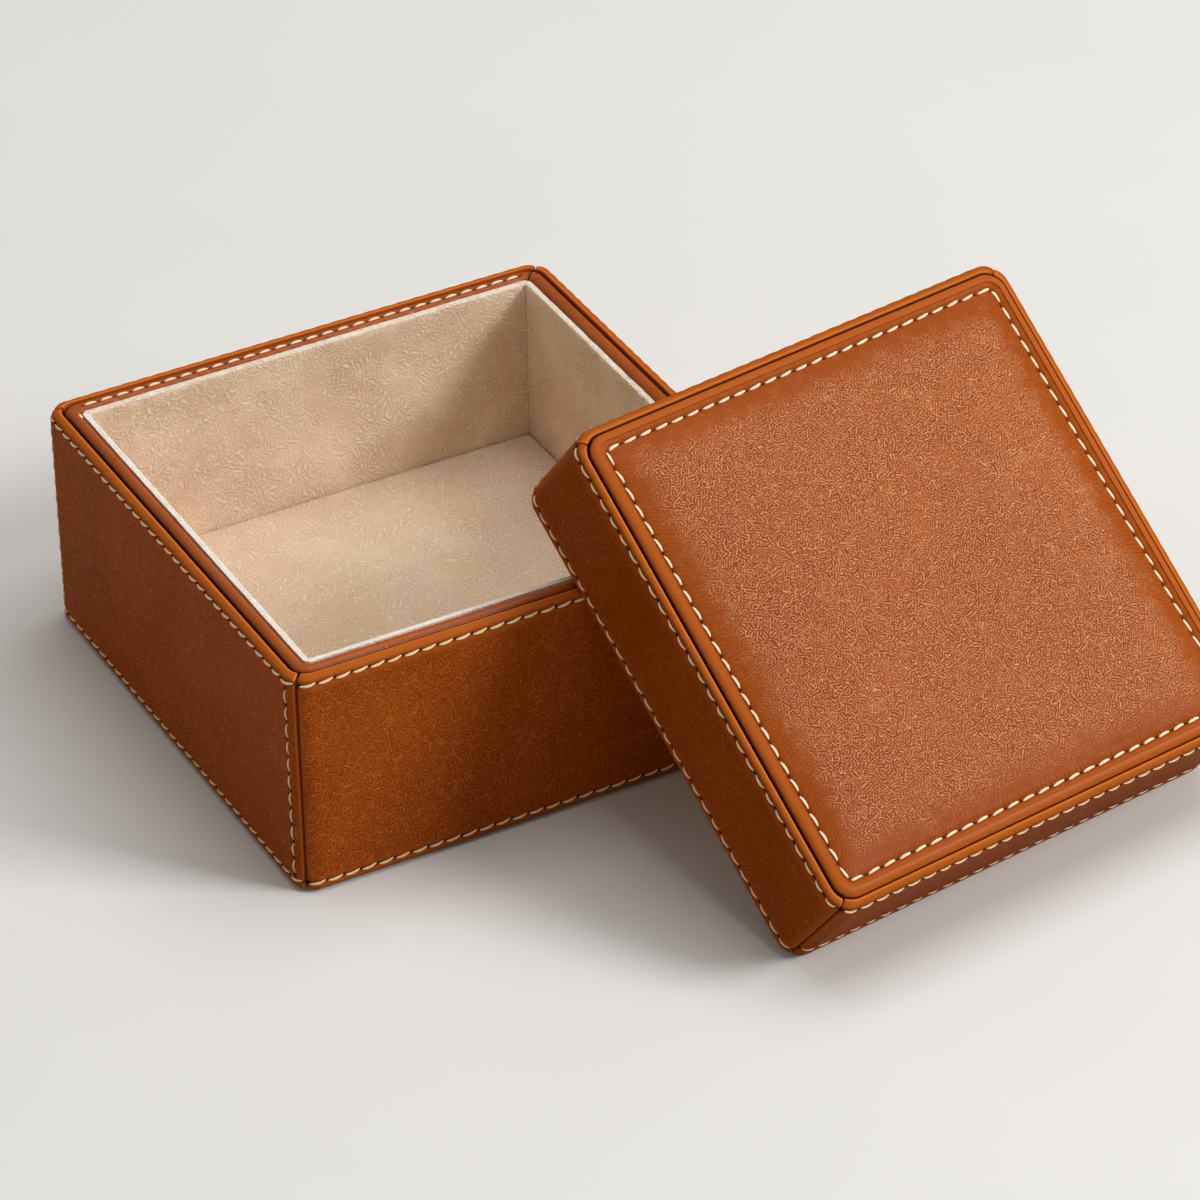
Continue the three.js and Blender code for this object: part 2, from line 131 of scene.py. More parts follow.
class Finish:
    """A procedural material, made one node at a time."""

    def __init__(self, name):
        self.material = bpy.data.materials.new(name)
        self.material.use_nodes = True
        self.tree = self.material.node_tree
        self.tree.nodes.clear()

    def add(self, kind, settings=None, inputs=None, output=0):
        node = self.tree.nodes.new("ShaderNode" + kind)
        for key, value in (settings or {}).items():
            setattr(node, key, value)
        for key, value in (inputs or {}).items():
            if isinstance(value, Flow):
                self.tree.links.new(value.socket, node.inputs[key])
            else:
                node.inputs[key].default_value = value
        return Flow(self, node.outputs[output])

    def where(self):
        return self.add("TexCoord", output="Object")

    def trait(self, name):
        return self.add("Attribute", {"attribute_name": name}, output="Fac")

    def noise(self, where, scale, detail=2.0, rough=0.5, output="Fac"):
        inputs = {"Vector": where, "Scale": scale, "Detail": detail, "Roughness": rough}
        return self.add("TexNoise", {}, inputs, output)

    def cells(self, where, scale, feature="F1"):
        return self.add("TexVoronoi", {"feature": feature}, {"Vector": where, "Scale": scale}, "Distance")

    def step(self, value, low, high):
        """0 up to low and 1 from high on, with a soft rise between. It falls where low is the larger."""
        inputs = {"Value": value, "From Min": low, "From Max": high}
        return self.add("MapRange", {"interpolation_type": "SMOOTHSTEP"}, inputs)

    def maze(self, where, axes, width):
        """Short bent strokes side by side, -1 to 1 across each: stripes of four directions, three soft masks that
        choose between them from zone to zone, and a bend over all. Axes are the surface's two directions, and width
        is the distance from stroke to stroke in metres."""
        zone = 0.5 / width
        bent = self.warped(where, 0.44 / width, 2.2 * width)
        stripes = []
        for angle in (0.24, 1.02, 1.81, 2.59):
            towards = (axes[0] * math.cos(angle) + axes[1] * math.sin(angle)) * (2 * math.pi / width)
            along = self.add("VectorMath", {"operation": "DOT_PRODUCT"}, {0: bent, 1: towards}, "Value")
            stripes.append(self.add("Math", {"operation": "SINE"}, {0: along}))
        zones = []
        for k in range(3):
            turned = self.add("Mapping", {}, {"Vector": where, "Rotation": (0.3 + k, 0.7 * k, 0.2)})
            zones.append(self.step(self.noise(turned, zone * (1 + 0.13 * k), 0), 0.45, 0.55))
        first = stripes[0] + (stripes[2] - stripes[0]) * zones[1]
        second = stripes[1] + (stripes[3] - stripes[1]) * zones[2]
        return first + (second - first) * zones[0]

    def warped(self, where, scale, amount):
        """Coordinates that wander by about half the amount."""
        wander = self.noise(where, scale, 2, 0.5, "Color")
        centred = self.add("VectorMath", {"operation": "SUBTRACT"}, {0: wander, 1: (0.5, 0.5, 0.5)})
        inputs = {0: centred, 1: (amount, amount, amount), 2: where}
        return self.add("VectorMath", {"operation": "MULTIPLY_ADD"}, inputs)

    def mix(self, share, first, second, blend="MIX"):
        settings = {"data_type": "RGBA", "blend_type": blend, "clamp_factor": True}
        return self.add("Mix", settings, {0: share, 6: first, 7: second}, 2)

    def surface(self, constants, changing, height=None, depth=0.0):
        inputs = {**constants, **changing}
        if height is not None:
            inputs["Normal"] = self.add("Bump", {}, {"Height": height, "Distance": depth, "Strength": 1.0})
        return self.add("BsdfPrincipled", {}, inputs, "BSDF")

    def close(self, constants, changing, height=None, depth=0.0):
        return self.add_output(self.surface(constants, changing, height, depth))

    def add_output(self, shader):
        node = self.tree.nodes.new("ShaderNodeOutputMaterial")
        self.tree.links.new(shader.socket, node.inputs["Surface"])
        return self.material


def srgb(red, green, blue):
    """A colour as it looks on a screen, 0 to 255, as the nodes want it."""
    linear = [((c / 255 + 0.055) / 1.055) ** 2.4 if c > 10 else c / 255 / 12.92 for c in (red, green, blue)]
    return (*linear, 1.0)


ROOM_COLOUR = srgb(234, 231, 226)


def make_table():
    """A paper-covered table. It bounces light a little warmer and darker than it looks, and far from the box it
    fades into the room's colour, so that no horizon shows."""
    finish = Finish("table_paper")
    rays = finish.add("LightPath", output="Is Diffuse Ray")
    mottle = finish.noise(finish.where(), 9, 3, 0.6)
    seen = finish.mix(mottle, srgb(228, 228, 226), srgb(233, 233, 231))
    colour = finish.mix(rays, seen, srgb(184, 174, 162))
    paper = finish.surface({"Roughness": 0.9, "Specular IOR Level": 0.1}, {"Base Color": colour})
    away = finish.add("VectorMath", {"operation": "LENGTH"}, {0: finish.where()}, "Value")
    far = finish.step(away, 0.7, 1.6) * finish.add("LightPath", output="Is Camera Ray")
    room = finish.add("Emission", {}, {"Color": ROOM_COLOUR, "Strength": 1.0}, "Emission")
    material = finish.add_output(finish.add("MixShader", {}, {0: far, 1: paper, 2: room}, "Shader"))
    bm = bmesh.new()
    bmesh.ops.create_grid(bm, x_segments=2, y_segments=2, size=6)
    mesh = bpy.data.meshes.new("table")
    bm.to_mesh(mesh)
    bm.free()
    mesh.materials.append(material)
    table = bpy.data.objects.new("table", mesh)
    bpy.context.scene.collection.objects.link(table)


def make_light():
    bpy.context.scene.view_settings.view_transform = "Standard"
    world = bpy.data.worlds.new("room")
    world.use_nodes = True
    nodes, links = world.node_tree.nodes, world.node_tree.links
    nodes.clear()
    seen = nodes.new("ShaderNodeBackground")
    seen.inputs["Color"].default_value = ROOM_COLOUR
    seen.inputs["Strength"].default_value = 1.0
    light = nodes.new("ShaderNodeBackground")
    light.inputs["Color"].default_value = (1.0, 0.93, 0.85, 1)
    light.inputs["Strength"].default_value = 0.305
    rays = nodes.new("ShaderNodeLightPath")
    mix = nodes.new("ShaderNodeMixShader")
    links.new(rays.outputs["Is Camera Ray"], mix.inputs[0])
    links.new(light.outputs[0], mix.inputs[1])
    links.new(seen.outputs[0], mix.inputs[2])
    links.new(mix.outputs[0], nodes.new("ShaderNodeOutputWorld").inputs["Surface"])
    bpy.context.scene.world = world
    softbox("key_lamp", towards=(0.25, 0.04, 0.97), distance=2.4, width=1.9, height=1.9, watts=27,
            tint=(0.98, 0.985, 0.985))
    softbox("front_lamp", towards=(0.60, -0.57, 0.58), distance=2.4, width=0.8, height=0.7, watts=36,
            tint=(0.985, 0.985, 0.985))


# The plan of each box, and how its four sides turn

class Plan:
    """A square box's outline: half its width, and its corner radius at the outer face and at a depth inside."""

    def __init__(self, half, outer, inner, depth, place=None):
        self.half = half
        self.outer = outer
        self.inner = inner
        self.depth = depth
        self.place = place or Matrix.Identity(4)
        self.straight = half - outer
        self.end = self.straight + outer * math.pi / 4

    def radius(self, inset):
        return self.outer + (self.inner - self.outer) * min(inset / self.depth, 1)

    def run_of(self, length, inset):
        """The run at a length along the side, measured on the leather at an inset."""
        radius = self.radius(inset)
        straight = self.half - inset - radius
        if abs(length) <= straight:
            return length / straight * self.straight
        turned = (abs(length) - straight) / radius
        return math.copysign(self.straight + self.outer * min(turned, math.pi / 4), length)

    def spot(self, run, inset, gap=0.0):
        """Where the front side is at a run along it and an inset, and which way it faces there. Two strips that
        meet at the corner stay the gap apart."""
        radius = min(self.radius(inset), (self.half - inset) / 2)
        reach = self.half - inset - radius
        beyond = abs(run) - self.straight
        if beyond <= 0:
            return Vector((run / self.straight * reach, -reach - radius, 0)), Vector((0, -1, 0))
        whole = math.pi / 4 - math.asin(gap / 2 / radius)
        angle = beyond / (self.end - self.straight) * whole
        side = math.copysign(1, run)
        out = Vector((side * math.sin(angle), -math.cos(angle), 0))
        return Vector((side * reach, -reach, 0)) + out * radius, out


def lid_stand():
    """The lid's place: its lower edge on the table, its left edge on the base's front wall."""
    tilt = math.radians(37.91)
    turn = math.radians(8.236)
    meeting = 6.28
    roll_wide, roll_high = 1.6, 1.1
    up_lid = Vector((-math.sin(turn) * math.cos(tilt), math.cos(turn) * math.cos(tilt), math.sin(tilt)))
    along = Vector((math.cos(turn), math.sin(turn), 0))
    out = along.cross(up_lid)
    roll_down = roll_wide * math.sin(tilt)
    roll_across = roll_high * math.cos(tilt)
    corner = Vector((meeting, -BASE_HALF, BASE_TOP)) - up_lid * (BASE_TOP / math.sin(tilt))
    corner.z -= roll_down + roll_across - math.hypot(roll_down, roll_across)
    turned = Matrix((along, up_lid, out)).transposed().to_4x4()
    return Matrix.Translation(corner) @ turned @ Matrix.Translation((LID_HALF, LID_HALF, 0))


BASE = Plan(BASE_HALF, outer=6, inner=1, depth=8.8)
LID = Plan(LID_HALF, outer=6, inner=1, depth=4.4, place=lid_stand())
BAND = Plan(LID_HALF, outer=6.4, inner=4.0, depth=4.4, place=LID.place)
TOP = Plan(62.4, outer=5.0, inner=1.6, depth=4.6, place=LID.place)


def quarter(side):
    """The turn from the front to a side."""
    return Matrix.Rotation(math.pi / 2 * SIDES.index(side), 4, "Z")


# Sections: closed lines of (inset, height) points

def line(start, end, spacing):
    """Points from the start up to, but not at, the end."""
    count = max(1, round(math.dist(start, end) / spacing))
    return [tuple(a + (b - a) * k / count for a, b in zip(start, end)) for k in range(count)]


def bend(centre, wide, high, start, end, count):
    """Points round a part of an ellipse. 0 degrees points inwards and 90 up."""
    points = []
    for k in range(count):
        angle = math.radians(start + (end - start) * k / count)
        points.append((centre[0] + wide * math.cos(angle), centre[1] + high * math.sin(angle)))
    return points


class Section:
    """A closed line of points with the distance along it, and the way out of it at each."""

    def __init__(self, points):
        self.points = [Vector(p) for p in points]
        count = len(points)
        self.away = []
        self.travel = [0.0]
        for k in range(count):
            before, after = self.points[k - 1], self.points[(k + 1) % count]
            tangent = (after - before).normalized()
            self.away.append(Vector((tangent.y, -tangent.x)))
            self.travel.append(self.travel[-1] + (self.points[(k + 1) % count] - self.points[k]).length)

    def at(self, distance):
        """The point and the way out at a distance along the line."""
        k = min(max(bisect_right(self.travel, distance) - 1, 0), len(self.points) - 1)
        share = (distance - self.travel[k]) / max(self.travel[k + 1] - self.travel[k], 1e-9)
        nxt = (k + 1) % len(self.points)
        point = self.points[k].lerp(self.points[nxt], share)
        return point, self.away[k].lerp(self.away[nxt], share).normalized()

    def nearest(self, inset, height):
        """The distance along the line of its nearest point."""
        spots = [(p - Vector((inset, height))).length for p in self.points]
        return self.travel[spots.index(min(spots))]


# Stitch rows. A row runs along a side, or down it, and dents the leather: a ditch with a hole at each stitch's end
# and a pucker beside each stitch. The ditch and holes are painted darker as painted shade.

def dent(past_hole, across, deep=1.0):
    """Lift and painted shade at a distance from the nearest hole and across the row."""
    hole = math.exp(-(past_hole / 0.5) ** 2 - (across / 0.5) ** 2)
    ditch = math.exp(-(across / 0.62) ** 2)
    swell = math.exp(-((abs(across) - 1.15) / 0.55) ** 2) * min(past_hole / 1.6, 1)
    lift = 0.14 * swell - 0.2 * ditch - 0.26 * hole
    # Painted shade: the ditch and each hole are painted darker
    wear_and_painted_light = -0.5 * ditch - 0.68 * hole
    return lift * deep, wear_and_painted_light


def even_holes(low, high, pitch=PITCH):
    count = round((high - low) / pitch)
    return [low + (high - low) * k / count for k in range(count + 1)]


def gap_to(holes, run):
    k = bisect_right(holes, run)
    return min(abs(run - hole) for hole in holes[max(k - 1, 0):k + 1])


class Row:
    """A row of stitches along a side, at a distance along its section."""

    def __init__(self, at, holes, deep=1.0):
        self.at = at
        self.holes = holes
        self.deep = deep

    def relief(self, run, travel):
        across = travel - self.at
        if abs(across) > ROW_REACH:
            return 0.0, 0.0
        return dent(gap_to(self.holes, run), across, self.deep)


class Upright:
    """A row of stitches down a side, at a run along it."""

    def __init__(self, run, holes):
        self.run = run
        self.holes = holes

    def relief(self, run, travel):
        across = run - self.run
        if abs(across) > ROW_REACH or not self.holes[0] - 1 < travel < self.holes[-1] + 1:
            return 0.0, 0.0
        return dent(gap_to(self.holes, travel), across)


def dented(rows):
    """The relief of several rows together."""
    def relief(side, run, travel):
        dents = [row.relief(run, travel) for row in rows]
        return sum(lift for lift, _ in dents), max(sum(wear_and_painted_light for _, wear_and_painted_light in dents), -1.2)
    return relief


# Pieces

def finished(name, bm, material, body, slot, *nodes):
    """A piece in metres, with its material, on its body, standing for its nodes."""
    bmesh.ops.scale(bm, vec=(MM, MM, MM), verts=bm.verts)
    bmesh.ops.recalc_face_normals(bm, faces=bm.faces)
    mesh = bpy.data.meshes.new(name)
    bm.to_mesh(mesh)
    bm.free()
    mesh.materials.append(material)
    mesh.shade_smooth()
    mesh.set_sharp_from_angle(angle=math.radians(50))
    piece = bpy.data.objects.new(name, mesh)
    bpy.context.scene.collection.objects.link(piece)
    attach(piece, body)
    if nodes:
        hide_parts(*nodes)
    return piece


def swept(plan, stations, section, wear_and_light_at, relief=None, gap=SEAM_GAP, soft_end=0.45, calm_at=None,
          shade=0.85, skived=False):
    """A strip: a section carried along stations, each a side, a run along it and how far off the strip's end is.
    Relief gives the lift and the painted shade of its stitch rows. One end gets a painted highlight and the other
    painted shade, as if in the next strip's shade.
    shade. Skived strips touch behind their seam."""
    bm = bmesh.new()
    low, high = min(p.y for p in section.points), max(p.y for p in section.points)
    order = bm.verts.layers.int.new("order")
    wear_and_light_layer = bm.verts.layers.float.new("wear_and_painted_light")
    calm = bm.verts.layers.float.new("calm")

    def put(vert, k, station):
        side, run, left = station
        point, away = section.points[k], section.away[k]
        lift, wear_and_painted_light = 0.0, wear_and_light_at(side, run, point)
        if relief:
            row_lift, row_painted_shade = relief(side, run, section.travel[k])
            lift += row_lift
            wear_and_painted_light += row_painted_shade
        if left < soft_end:
            lift -= soft_end - math.sqrt(max(soft_end ** 2 - (soft_end - left) ** 2, 0))
        # Painted highlight at the strip's +run end, painted shade at its other end
        if run > 0:
            wear_and_painted_light += 0.8 * max(1 - left / 0.7, 0)
        else:
            wear_and_painted_light -= shade * math.exp(-left / 0.9)
        # Only behind the leather's face and clear of its rolled edges
        touching = skived and point.x > 1.3 and low + 1.5 < point.y < high - 2.4
        spot, _ = plan.spot(run, point.x + away.x * lift, 0 if touching else gap)
        spot.z = point.y + away.y * lift
        vert.co = plan.place @ quarter(side) @ spot
        vert[wear_and_light_layer] = wear_and_painted_light
        vert[calm] = calm_at(run, point) if calm_at else 0.0

    ring = []
    for k in range(len(section.points)):
        vert = bm.verts.new()
        vert[order] = k
        put(vert, k, stations[0])
        ring.append(vert)
    first = [bm.edges.new((ring[k - 1], ring[k])) for k in range(len(ring))]
    edges = first
    for station in stations[1:]:
        made = bmesh.ops.extrude_edge_only(bm, edges=edges)["geom"]
        for vert in made:
            if isinstance(vert, bmesh.types.BMVert):
                put(vert, vert[order], station)
        edges = [e for e in made if isinstance(e, bmesh.types.BMEdge) and len(e.link_faces) == 1]
    bmesh.ops.contextual_create(bm, geom=first)
    bmesh.ops.contextual_create(bm, geom=edges)
    return bm


def side_stations(plan, side, spacing):
    """Stations along one side from mitre to mitre, close together at the ends."""
    half = [plan.end - x for x in (0, 0.07, 0.2, 0.45, 0.8)]
    count = round(half[-1] / spacing)
    half += [half[-1] * (1 - k / count) for k in range(1, count)]
    runs = [-x for x in half] + [0.0] + half[::-1]
    return [(side, run, plan.end - abs(run)) for run in runs]


def panel_section(bottom, top, top_roll, bottom_roll, fold, depth, row_heights):
    """A folded leather panel in section, with close points round its edges and stitch rows. It is folded over its
    wall's edges: the fold is as thick as given and reaches down by the depth."""
    crest = 0.5
    beside_row, close, wide = 1.6, 0.3, 1.2
    roll = fold - crest
    points = line((fold, top - depth), (fold, top - crest), 2)
    points += bend((roll, top - crest), crest, crest, 0, 90, 4)
    points += bend((roll, top - top_roll), roll, top_roll, 90, 180, 12)
    marks = [top - top_roll]
    for height in row_heights:
        marks += [height + beside_row, height - beside_row]
    marks += [bottom + bottom_roll]
    marks = sorted(set(min(max(m, bottom + bottom_roll), top - top_roll) for m in marks), reverse=True)
    for high, low in zip(marks, marks[1:]):
        near_row = any(low - 0.1 <= h <= high + 0.1 for h in row_heights)
        points += line((0, high), (0, low), close if near_row else wide)
    points += bend((roll, bottom + bottom_roll), roll, bottom_roll, 180, 270, 6)
    points += bend((roll, bottom + crest), crest, crest, 270, 360, 3)
    points += line((fold, bottom + crest), (fold, bottom + depth), 3)
    points += line((fold, bottom + depth), (LEATHER, bottom + depth), 3)
    points += line((LEATHER, bottom + depth), (LEATHER, top - depth), 20)
    points += line((LEATHER, top - depth), (fold, top - depth), 3)
    return Section(points)


def corner_holes(plan, start):
    """Holes along a side: even on the straight, then one long stitch round to the mitre."""
    last = plan.end - 0.25
    return [-last] + even_holes(-start, start) + [last]


def threads(bm, holes, on_surface, seed, width=0.68, thick=0.58, bow=0.22, slant=0.25, share=(0.84, 0.9)):
    """A stitch between each two holes: a slim almond that dips into the leather at both ends. It bows to one side
    and slants, and its length is a share of the way between its holes."""
    rand = random.Random(seed)
    for start, end in zip(holes, holes[1:]):
        middle = (start + end) / 2
        length = (end - start) * rand.uniform(*share)
        tilt = slant * rand.uniform(0.7, 1.3)
        shape = bmesh.ops.create_uvsphere(bm, u_segments=7, v_segments=8, radius=1)["verts"]
        lean = rand.uniform(-0.05, 0.05)
        for vert in shape:
            along = vert.co.z
            full = max(1 - along * along, 0)
            body = full ** 0.36 / max(full ** 0.5, 1e-3)
            across = vert.co.x * body * width / 2
            out = vert.co.y * body * thick / 2
            across += bow * (1 - along * along) - tilt * along + lean
            out += 0.2 * (1 - along * along) - 0.12
            vert.co = on_surface(middle + along * length / 2, across, out)


def row_surface(plan, side, section, at, sunk=0.12):
    """Lays (run, across, out) of a stitch on a side's leather along a row."""
    turn = plan.place @ quarter(side)

    def on_surface(run, across, out):
        point, away = section.at(at + across)
        spot, face = plan.spot(max(-plan.end, min(plan.end, run)), point.x, SEAM_GAP)
        spot.z = point.y
        return turn @ (spot + (face * -away.x + Vector((0, 0, away.y))) * (out - sunk))

    return on_surface


def upright_surface(plan, side, section, run):
    """Lays (down, across, out) of a stitch on a side's leather down a row."""
    across_row = row_surface(plan, side, section, 0)

    def on_surface(down, across, out):
        return across_row(run + across, down, out)

    return on_surface


# Finishes

def leather(name, axes, tones, crest, burnish_and_painted_highlight, width, shows, full, share, ragged, relief, web, gloss, rough,
            height_mm, pleated=False):
    """Dyed leather: a maze of short ridges with furrows between them, a web of creases that come and go, slow
    mottling, painted shade in dents and grooves, and edges lightened, partly real burnish and partly painted
    highlight. Ridges lie their width apart, show from one height of the maze and are full at another, and take a
    share of the crest's colour as painted highlight, partly a rubbed finish; furrows are painted darker as painted
    shade. The web has a scale and a share. Both fade where the leather is calm. Pleated leather is drawn into short
    wrinkles there, painted lighter on one flank and darker on the other, and has a painted sheen over its grainy
    middle."""
    f = Finish(name)
    where = f.where()
    wear_and_painted_light = f.trait("wear_and_painted_light")
    edge = f.trait("calm") + (f.noise(where, 240, 3, 0.6) - 0.5) * 0.8
    grainy = f.step(edge + abs(wear_and_painted_light) * 0.7, 0.75, 0.2)
    strokes = f.maze(where, axes, width * MM)
    uneven = strokes + (f.noise(where, 1.2 / (width * MM), 1, 0.5) - 0.5) * ragged
    ridge = f.step(uneven, shows, full)
    furrow = f.step(0 - uneven, shows, full + 0.1)
    patch = 0.72 + 0.28 * f.step(f.noise(where, 110, 3, 0.6), 0.34, 0.62)
    web_scale, web_share = web
    web_cell = f.cells(f.warped(where, 260, 0.0036), web_scale, "DISTANCE_TO_EDGE")
    broken = f.step(f.noise(where, web_scale * 0.9, 3, 0.6), 0.42, 0.62)
    crease = (1 - f.step(web_cell, 0.015, 0.085)) * broken
    fine = f.noise(where, 3600, 2, 0.5)
    mottle = f.noise(where, 30, 4, 0.62)
    base = f.mix(f.step(mottle, 0.15, 0.85), *tones)
    if pleated:
        # Painted sheen: the grainy middle of the lid's top takes some of the crest's colour
        base = f.mix(grainy * 0.12, base, crest)
    else:
        # Painted highlight, partly real burnish: the calm leather by the seams and edges is lightened
        base = f.mix(0.22 - grainy * 0.22, base, burnish_and_painted_highlight)
    # Painted shade in the furrows and painted highlight on the ridges, partly a rubbed finish
    base = f.mix(furrow * patch * grainy * relief * 0.6, base, tones[0], "MULTIPLY")
    base = f.mix(ridge * patch * grainy * share, base, crest)
    base = f.mix(crease * grainy * web_share, base, crest)
    # Lighter where the mark is above 0: partly real burnish, partly painted highlight
    base = f.mix(f.step(wear_and_painted_light, 0.1, 0.9), base, burnish_and_painted_highlight)
    # Painted shade: where the mark is below 0 the leather is painted nearly black, and made rougher
    painted_shade = f.step(0 - wear_and_painted_light, 0.1, 1.1)
    height = (uneven * 0.5 * relief * patch + crease * 0.4) * grainy + fine * 0.1
    if pleated:
        wander = f.noise(f.warped(where, 300, 0.002), 340, 2, 0.5) * 9
        pleat = f.add("Math", {"operation": "SINE"}, {0: f.trait("run") * (2 * math.pi / 1.2) + wander})
        reach = f.step(edge, 0.4, 0.75) * f.step(edge, 1.35, 0.8) * f.step(f.noise(where, 520, 2, 0.6), 0.36, 0.62)
        # Painted highlight on one flank of each pleat, painted shade on the other
        base = f.mix(f.step(pleat, 0.35, 1) * reach * 0.08, base, crest)
        base = f.mix(f.step(0 - pleat, 0.3, 1) * reach * 0.16, base, tones[0], "MULTIPLY")
        height = height + pleat * reach * 0.06
    base = f.mix(painted_shade * 0.9, base, srgb(24, 8, 3))
    shine = rough - 0.08 * f.step(wear_and_painted_light, 0.2, 0.9) + 0.25 * painted_shade
    return f.close({"Specular IOR Level": gloss}, {"Base Color": base, "Roughness": shine}, height, height_mm * MM)


def suede(name, axes, width, tone, pale, shade):
    """Brushed suede: short curled strokes of nap, pale or in shade, soft patches where it lies the other way, and a
    pale combed edge where it is rubbed."""
    f = Finish(name)
    where = f.where()
    wear_and_painted_light = f.trait("wear_and_painted_light")
    curls = f.maze(where, axes, width * MM) + (f.noise(where, 700, 2, 0.6) - 0.5) * 2.2
    stroke = f.step(curls, 0.35, 1.0)
    shadow = f.step(0 - curls, 0.35, 1.1)
    nap = f.noise(where, 48, 4, 0.62)
    fuzz = f.noise(where, 3000, 3, 0.62)
    patch = 0.35 + 0.65 * f.step(f.noise(where, 120, 3, 0.6), 0.35, 0.62)
    base = f.mix(f.step(nap, 0.28, 0.72), shade, tone)
    base = f.mix(shadow * patch * 0.72, base, shade)
    base = f.mix(stroke * patch * 0.8, base, pale)
    base = f.mix(fuzz * 0.2, base, pale)
    combed = f.step(wear_and_painted_light + (f.noise(where, 420, 4, 0.7) - 0.5) * 1.1, 0.3, 0.75)
    base = f.mix(combed, base, COMBED)
    height = (stroke - shadow * 0.5) * patch * 0.6 + fuzz * 0.35
    constants = {"Specular IOR Level": 0.1, "Roughness": 0.95, "Sheen Weight": 0.2, "Sheen Roughness": 0.6}
    return f.close(constants, {"Base Color": base}, height, 0.24 * MM)


def thread_finish(name, deep, bright):
    """Twisted thread, deeper in colour between its strands."""
    f = Finish(name)
    strand = f.noise(f.where(), 2600, 3, 0.6)
    colour = f.mix(strand, deep, bright)
    return f.close({"Roughness": 0.55, "Specular IOR Level": 0.3}, {"Base Color": colour}, strand, 0.06 * MM)


def shade_dark_board_finish():
    f = Finish("fibre_board_painted_shade")
    where = f.where()
    pulp = f.noise(where, 900, 5, 0.7)
    flake = f.cells(f.warped(where, 300, 0.002), 500)
    # The board is painted nearly black-brown so that where it shows in gaps it reads as shade
    colour = f.mix(pulp, srgb(44, 28, 17), srgb(76, 54, 36))
    return f.close({"Roughness": 0.9}, {"Base Color": colour}, pulp + flake * 0.4, 0.12 * MM)


def foam_finish():
    f = Finish("open_foam")
    cell = f.cells(f.where(), 1500)
    colour = f.mix(f.step(cell, 0.1, 0.6), srgb(196, 188, 168), srgb(236, 230, 214))
    return f.close({"Roughness": 1.0, "Specular IOR Level": 0.1}, {"Base Color": colour}, cell, 0.3 * MM)


# The two directions that strokes lie in, on upright and on flat leather and suede
UPRIGHT = (Vector((1, 1, 0)), Vector((0, 0, 1)))
FLAT = (Vector((1, 0, 0)), Vector((0, 1, 0)))
LID_UPRIGHT, LID_FLAT = ([LID.place.to_3x3() @ axis for axis in axes] for axes in (UPRIGHT, FLAT))

side_leather = leather(
    "side_leather", UPRIGHT, tones=(srgb(144, 64, 12), srgb(166, 78, 17)), crest=srgb(224, 130, 58),
    burnish_and_painted_highlight=srgb(208, 114, 42), width=0.92, shows=0.45, full=1.0, share=0.4, ragged=0.9, relief=0.5,
    web=(320, 0.26), gloss=0.03, rough=0.5, height_mm=0.12)
band_leather = leather(
    "band_leather", LID_UPRIGHT, tones=(srgb(134, 60, 12), srgb(154, 72, 15)), crest=srgb(200, 108, 34),
    burnish_and_painted_highlight=srgb(208, 114, 42), width=0.92, shows=0.45, full=1.0, share=0.38, ragged=0.9, relief=0.5,
    web=(320, 0.22), gloss=0.012, rough=0.45, height_mm=0.12)
welt_leather = leather(
    "welt_leather", UPRIGHT, tones=(srgb(152, 70, 16), srgb(172, 84, 22)), crest=srgb(206, 128, 66),
    burnish_and_painted_highlight=srgb(222, 132, 62), width=0.7, shows=0.4, full=1.0, share=0.1, ragged=1.1, relief=0.3,
    web=(300, 0.05), gloss=0.22, rough=0.22, height_mm=0.08)
top_leather = leather(
    "top_leather", LID_FLAT, tones=(srgb(147, 66, 11), srgb(159, 75, 15)), crest=srgb(233, 162, 115),
    burnish_and_painted_highlight=srgb(194, 101, 38), width=0.72, shows=0.3, full=0.95, share=0.7, ragged=1.1, relief=1.0,
    web=(220, 0.16), gloss=0.065, rough=0.4, height_mm=0.14, pleated=True)

COMBED = srgb(244, 234, 222)
LINING_NAP = {"width": 1.2, "tone": srgb(241, 217, 188), "pale": srgb(252, 240, 222), "shade": srgb(214, 182, 148)}
PAD_NAP = {"width": 1.35, "tone": srgb(228, 203, 175), "pale": srgb(248, 232, 212), "shade": srgb(214, 184, 152)}
lining_suede = suede("lining_suede", UPRIGHT, **LINING_NAP)
lid_suede = suede("lid_suede", LID_UPRIGHT, **LINING_NAP)
pad_suede = suede("pad_suede", FLAT, **PAD_NAP)
ceiling_suede = suede("ceiling_suede", LID_FLAT, **PAD_NAP)
# The side thread is a warmer copy of the pale thread: painted warm bounce light for the rows on the side faces
side_thread_painted_warm_light = thread_finish("side_thread_painted_warm_light", srgb(248, 204, 146), srgb(255, 243, 206))
pale_thread = thread_finish("pale_thread", srgb(240, 207, 158), srgb(255, 246, 221))
board = shade_dark_board_finish()
foam = foam_finish()


# The base's leather

BASE_ROWS = (60.2, 2.9)
BASE_FOLD = 2.65
UPRIGHT_RUN = 65.8
UPRIGHT_ENDS = (58.4, 4.3)
UPRIGHT_PITCH = 4.95
base_section = panel_section(bottom=0.5, top=BASE_TOP, top_roll=2.3, bottom_roll=1.3, fold=BASE_FOLD, depth=8,
                             row_heights=BASE_ROWS)
base_top_row = base_section.nearest(0.1, BASE_ROWS[0])
base_bottom_row = base_section.nearest(0, BASE_ROWS[1])
base_holes = corner_holes(BASE, 63.3)


